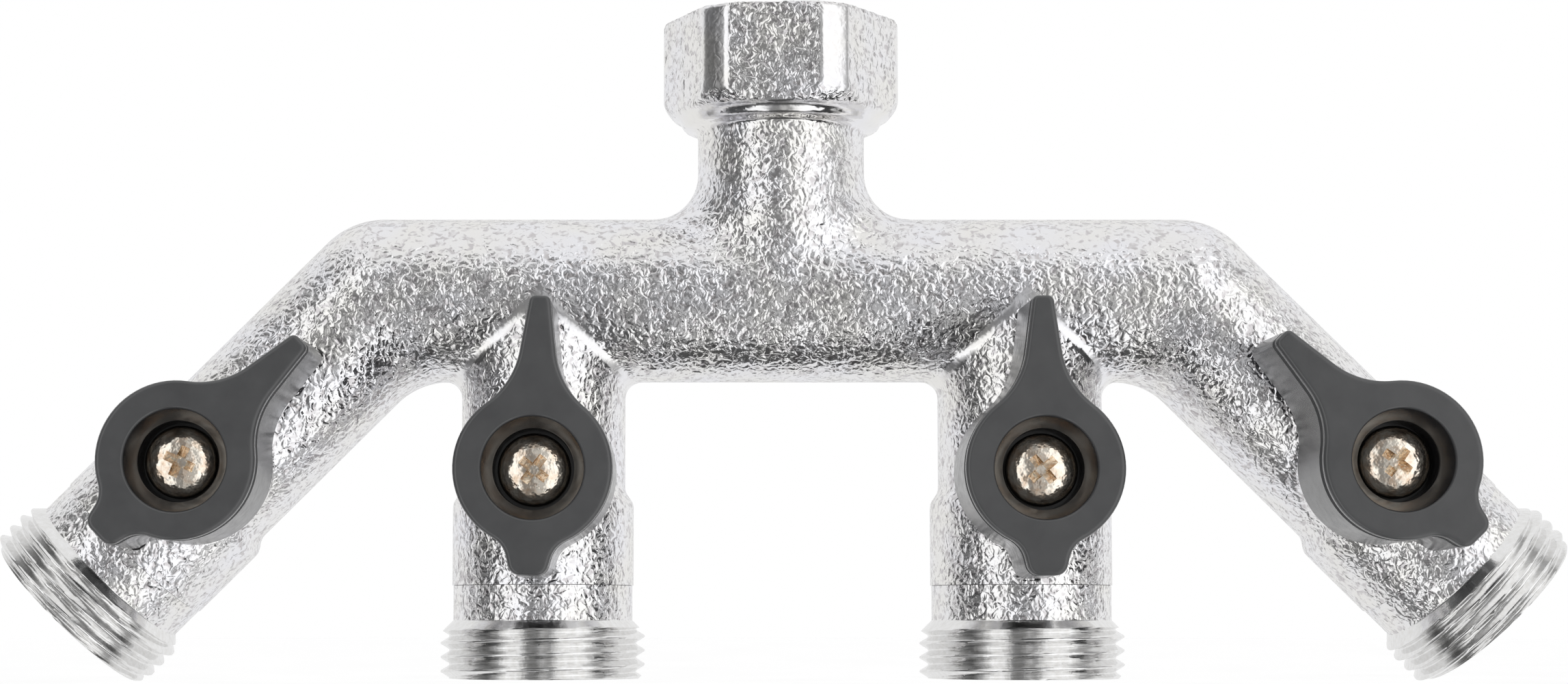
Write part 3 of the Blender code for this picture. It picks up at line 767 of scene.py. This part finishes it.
class Graph:
    """Small helper that adds nodes to a node tree and links them."""

    def __init__(self, tree):
        self.tree = tree

    def add(self, kind, inputs=(), **settings):
        node = self.tree.nodes.new(kind)
        for key, value in settings.items():
            setattr(node, key, value)
        for key, value in dict(inputs).items():
            if isinstance(value, bpy.types.NodeSocket):
                self.tree.links.new(value, node.inputs[key])
            else:
                node.inputs[key].default_value = value
        return node

    def math(self, operation, a, b=0.0):
        return self.add("ShaderNodeMath", {0: a, 1: b}, operation=operation).outputs[0]

    def square(self, a):
        return self.math("MULTIPLY", a, a)

    def remap(self, value, low, high, to_low=0.0, to_high=1.0, smooth=False):
        inputs = {"Value": value, "From Min": low, "From Max": high, "To Min": to_low, "To Max": to_high}
        kind = "SMOOTHSTEP" if smooth else "LINEAR"
        return self.add("ShaderNodeMapRange", inputs, interpolation_type=kind).outputs["Result"]

    def noise(self, where, scale, detail=2.0, roughness=0.5, distortion=0.0):
        inputs = {"Vector": where, "Scale": scale, "Detail": detail, "Roughness": roughness}
        node = self.add("ShaderNodeTexNoise", {**inputs, "Distortion": distortion})
        return node.outputs["Fac"]

    def mix(self, amount, first, second):
        node = self.add("ShaderNodeMix", {0: amount, 6: first, 7: second}, data_type="RGBA")
        return node.outputs[2]


def new_material(name, metallic, specular=0.5):
    mat = bpy.data.materials.new(name)
    mat.use_nodes = True
    graph = Graph(mat.node_tree)
    shader = mat.node_tree.nodes["Principled BSDF"]
    shader.inputs["Metallic"].default_value = metallic
    shader.inputs["Specular IOR Level"].default_value = specular
    where = graph.add("ShaderNodeTexCoord").outputs["Object"]
    return mat, graph, shader, where


def connect(graph, shader, color=None, roughness=None, normal=None):
    for key, socket in (("Base Color", color), ("Roughness", roughness), ("Normal", normal)):
        if socket is not None:
            graph.tree.links.new(socket, shader.inputs[key])


def bump(graph, height, distance, strength=1.0):
    inputs = {"Height": height, "Distance": distance, "Strength": strength}
    return graph.add("ShaderNodeBump", inputs).outputs["Normal"]


def cast_nickel():
    """Nickel plate over a shot-blasted casting: a pebbled skin whose facets glitter, with painted shade in
    the hollows between the pebbles.
    """
    mat, graph, shader, where = new_material("cast_nickel", 1.0)
    warp = graph.add("ShaderNodeTexNoise", {"Vector": where, "Scale": 700.0, "Detail": 1.0})
    reach = {0: warp.outputs["Color"], 1: (0.0009,) * 3}
    bend = graph.add("ShaderNodeVectorMath", reach, operation="MULTIPLY").outputs[0]
    bent = graph.add("ShaderNodeVectorMath", {0: where, 1: bend}, operation="ADD").outputs[0]
    pebbles = graph.noise(bent, 1150.0, 1.0, 0.45, 0.5)
    ridges = graph.math("ABSOLUTE", graph.math("SUBTRACT", graph.noise(bent, 800.0, 0.0, 0.5, 0.6), 0.5))
    fine = graph.noise(where, 3200.0, 1.0)
    height = graph.math("ADD", pebbles, graph.math("MULTIPLY", ridges, 1.3))
    height = graph.math("ADD", height, graph.math("MULTIPLY", fine, 0.10))
    broad = graph.noise(where, 140.0, 2.0)
    tint = graph.remap(broad, 0.35, 0.65)
    color = graph.mix(tint, (0.86, 0.85, 0.83, 1), (0.86, 0.86, 0.89, 1))
    pits = graph.remap(pebbles, 0.32, 0.46, 0.0, 1.0)
    roughness = graph.remap(graph.noise(where, 1200.0, 2.0), 0.3, 0.7, 0.08, 0.17)
    # Pebbles fade out on the hexagon's turned corners, on the turned ring under it, and in the inner
    # branches' fillets, which run at 45 degrees because the branches are as thick as the cross tube.
    sideways, depth, level = graph.add("ShaderNodeSeparateXYZ", {0: where}).outputs
    from_axis = graph.math("SQRT", graph.math("ADD", graph.square(sideways), graph.square(depth)))
    on_corner = graph.math(
        "MULTIPLY",
        graph.remap(level, (HEAD_LEVEL - 0.1) * MM, (HEAD_LEVEL + 0.1) * MM),
        graph.remap(from_axis, (HEAD_R - 0.2) * MM, (HEAD_R - 0.08) * MM),
    )
    off_corner = graph.math("SUBTRACT", 1.0, graph.math("MULTIPLY", on_corner, 0.82))
    off_ring = graph.math("ABSOLUTE", graph.math("SUBTRACT", level, COLLAR_RING_LEVEL * MM))
    on_ring = graph.remap(off_ring, 0.0009, 0.0014, 0.04, 1.0, smooth=True)
    off_branch = graph.math("SUBTRACT", graph.math("ABSOLUTE", sideways), INNER_X * MM)
    below_tube = graph.math("ADD", level, INLET_TO_TUBE * MM)
    off_fillet = graph.math("ABSOLUTE", graph.math("ADD", graph.math("ABSOLUTE", off_branch), below_tube))
    on_fillet = graph.remap(off_fillet, 0.0005, 0.0014, 0.12, 1.0, smooth=True)
    pebbled = graph.math("MINIMUM", graph.math("MINIMUM", on_ring, on_fillet), off_corner)
    # Painted shade: the hollows between the pebbles are painted a darker grey, and this painted shade fades
    # out wherever the pebbles fade.
    free_of_pit_shade = graph.math("MAXIMUM", pits, graph.math("SUBTRACT", 1.0, pebbled))
    shade = graph.mix(free_of_pit_shade, (0.62, 0.60, 0.61, 1), color)
    connect(graph, shader, shade, roughness, bump(graph, height, 0.00021, pebbled))
    return mat


def turned_nickel():
    """Bright nickel over lathe-turned metal: fine rings round the axis, nearly a mirror."""
    mat, graph, shader, where = new_material("turned_nickel", 1.0)
    squeeze = {"Vector": where, "Scale": (120.0, 120.0, 9000.0)}
    rings = graph.add("ShaderNodeMapping", squeeze).outputs[0]
    lines = graph.noise(rings, 1.0, 2.0, 0.6)
    specks = graph.noise(where, 1500.0, 2.0)
    tint = graph.remap(specks, 0.3, 0.7)
    color = graph.mix(tint, (0.78, 0.775, 0.765, 1), (0.86, 0.86, 0.86, 1))
    roughness = graph.remap(graph.noise(where, 600.0, 2.0), 0.3, 0.7, 0.09, 0.16)
    height = graph.math("ADD", graph.math("MULTIPLY", lines, 0.35), specks)
    connect(graph, shader, color, roughness, bump(graph, height, 0.000012))
    return mat


def lever_plastic():
    """Glass-filled nylon: dark grey, satin, with a very fine moulded grain and painted shade in the bowl
    round the screw.
    """
    mat, graph, shader, where = new_material("lever_plastic", 0.0, 0.6)
    grain = graph.noise(where, 3000.0, 0.0)
    mottle = graph.remap(graph.noise(where, 260.0, 3.0), 0.3, 0.7)
    color = graph.mix(mottle, (0.066, 0.067, 0.069, 1), (0.078, 0.079, 0.081, 1))
    roughness = graph.remap(graph.noise(where, 900.0, 2.0), 0.3, 0.7, 0.16, 0.26)
    # Painted shade: the bowl round the screw is painted darker than the face, standing in for the shade in
    # the recess.
    across, along, height = graph.add("ShaderNodeSeparateXYZ", {0: where}).outputs
    from_axis = graph.math("SQRT", graph.math("ADD", graph.square(across), graph.square(along)))
    edge = RECESS_RIM_R * MM
    bowl_painted_shade = graph.math(
        "MULTIPLY",
        graph.remap(from_axis, edge + 0.0001, edge),
        graph.remap(height, LEVER_FACE * MM, (LEVER_FACE - 0.3) * MM),
    )
    shade = graph.mix(bowl_painted_shade, color, (0.011, 0.011, 0.012, 1))
    connect(graph, shader, shade, roughness, bump(graph, grain, 0.000003))
    return mat


def screw_nickel():
    """Warm nickel on brass, with brown stains."""
    mat, graph, shader, where = new_material("screw_nickel", 1.0)
    stains = graph.remap(graph.noise(where, 750.0, 3.0, 0.6), 0.42, 0.68)
    color = graph.mix(stains, (1.0, 0.93, 0.82, 1), (0.78, 0.60, 0.45, 1))
    roughness = graph.remap(graph.noise(where, 1600.0, 2.0), 0.3, 0.7, 0.12, 0.22)
    connect(graph, shader, color, roughness, bump(graph, graph.noise(where, 900.0, 2.0), 0.00014))
    return mat


def simple_material(name, dark, light, metallic, rough, scale, depth):
    """Two close tones, a roughness that wanders, and a fine surface bump."""
    mat, graph, shader, where = new_material(name, metallic)
    tint = graph.remap(graph.noise(where, scale, 3.0), 0.3, 0.7)
    color = graph.mix(tint, (*dark, 1), (*light, 1))
    wander = graph.noise(where, scale * 2.1, 2.0)
    roughness = graph.remap(wander, 0.3, 0.7, rough - 0.06, rough + 0.06)
    connect(graph, shader, color, roughness, bump(graph, graph.noise(where, scale * 4, 2.0), depth))
    return mat


# ---------------------------------------------------------------- scene


def add_floor():
    bm = bmesh.new()
    bmesh.ops.create_circle(bm, cap_ends=True, segments=96, radius=FLOOR_R)
    bmesh.ops.translate(bm, vec=(0, 0, FLOOR_Z), verts=bm.verts)
    mat, graph, shader, where = new_material("floor_paper", 0.0, 0.2)
    tint = graph.remap(graph.noise(where, 30.0, 3.0), 0.3, 0.7)
    color = graph.mix(tint, (0.86, 0.86, 0.86, 1), (0.9, 0.9, 0.9, 1))
    connect(graph, shader, color)
    shader.inputs["Roughness"].default_value = 0.9
    shader.inputs["Emission Color"].default_value = (1, 1, 1, 1)
    shader.inputs["Emission Strength"].default_value = 0.25
    floor = object_from("floor", bm, mat, 0)
    floor.visible_glossy = False


def add_studio():
    """A white surround seen by the camera; reflections see soft boxes between darker flags."""
    world = bpy.data.worlds.new("studio")
    bpy.context.scene.world = world
    world.use_nodes = True
    graph = Graph(world.node_tree)
    ways = graph.add("ShaderNodeTexCoord").outputs["Generated"]
    parts = graph.add("ShaderNodeSeparateXYZ", {0: ways}).outputs
    front = graph.math("MULTIPLY", parts[1], -1.0)
    azimuth = graph.math("ARCTAN2", parts[0], front)
    turn = graph.math("ADD", graph.math("DIVIDE", azimuth, 2 * math.pi), 0.5)
    ramp = graph.add("ShaderNodeValToRGB", {0: turn})
    stops = ramp.color_ramp.elements
    while len(stops) < len(STUDIO_RING):
        stops.new(0.5)
    for stop, (degrees, brightness) in zip(stops, STUDIO_RING):
        stop.position = degrees / 360 + 0.5
        stop.color = (brightness, brightness, brightness, 1)
    top = graph.remap(parts[2], *STUDIO_TOP_BAND, smooth=True)
    bottom = graph.remap(parts[2], *STUDIO_BOTTOM_BAND, smooth=True)
    light = graph.mix(top, ramp.outputs["Color"], (STUDIO_TOP,) * 3 + (1,))
    light = graph.mix(bottom, light, (STUDIO_BOTTOM,) * 3 + (1,))
    background = world.node_tree.nodes["Background"]
    seen = graph.add("ShaderNodeLightPath").outputs["Is Camera Ray"]
    color = graph.mix(seen, light, (1, 1, 1, 1))
    world.node_tree.links.new(color, background.inputs["Color"])


def add_camera():
    data = bpy.data.cameras.new("camera")
    data.lens = CAMERA_LENS
    data.sensor_width = 36.0
    data.shift_x, data.shift_y = CAMERA_SHIFT
    data.clip_start = 0.01
    data.clip_end = 10.0
    camera = bpy.data.objects.new("camera", data)
    camera.location = Vector(CAMERA_AT) * MM
    camera.rotation_euler = (math.pi / 2 + CAMERA_PITCH, 0, 0)
    bpy.context.scene.collection.objects.link(camera)
    bpy.context.scene.camera = camera


def main():
    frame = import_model()
    nodes = frame["nodes"]
    metal = cast_nickel()
    turned = turned_nickel()
    plastic = lever_plastic()
    screw_metal = screw_nickel()

    casting = build_casting(metal)
    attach(casting, "housing")
    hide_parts("manifold_body")
    ring = socket_ring("inlet_thread_ring", turned)
    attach(ring, "housing")
    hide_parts("manifold_body")

    for name, start, flow, length in outlets():
        end = turned_end(f"{name}_threaded_end", turned)
        end.data.materials.append(metal)
        for face in end.data.polygons:
            face.material_index = int(face.center.z < -THREAD_LENGTH * MM)
        end.matrix_world = placed(start + flow * length, z_along(flow))
        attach(end, "housing")
        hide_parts("manifold_body")

        valve = valve_frame(start, flow, length)
        lever = build_lever(name, plastic)
        lever.matrix_world = valve @ Matrix.Rotation(math.radians(LEVER_TILT[name]), 4, "Z")
        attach(lever, f"{name}_handle")
        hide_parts(f"{name}_lever")

        screw = build_screw(name, screw_metal)
        screw.matrix_world = valve
        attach(screw, f"{name}_handle")
        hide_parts(f"{name}_screw")

    for word, look in NODE_LOOKS.items():
        mat = simple_material(*look)
        for node_name, obj in nodes.items():
            if word in node_name and not obj.hide_render:
                obj.data.materials.clear()
                obj.data.materials.append(mat)

    add_floor()
    add_studio()
    add_camera()
    bpy.context.scene.view_settings.view_transform = "Standard"


main()
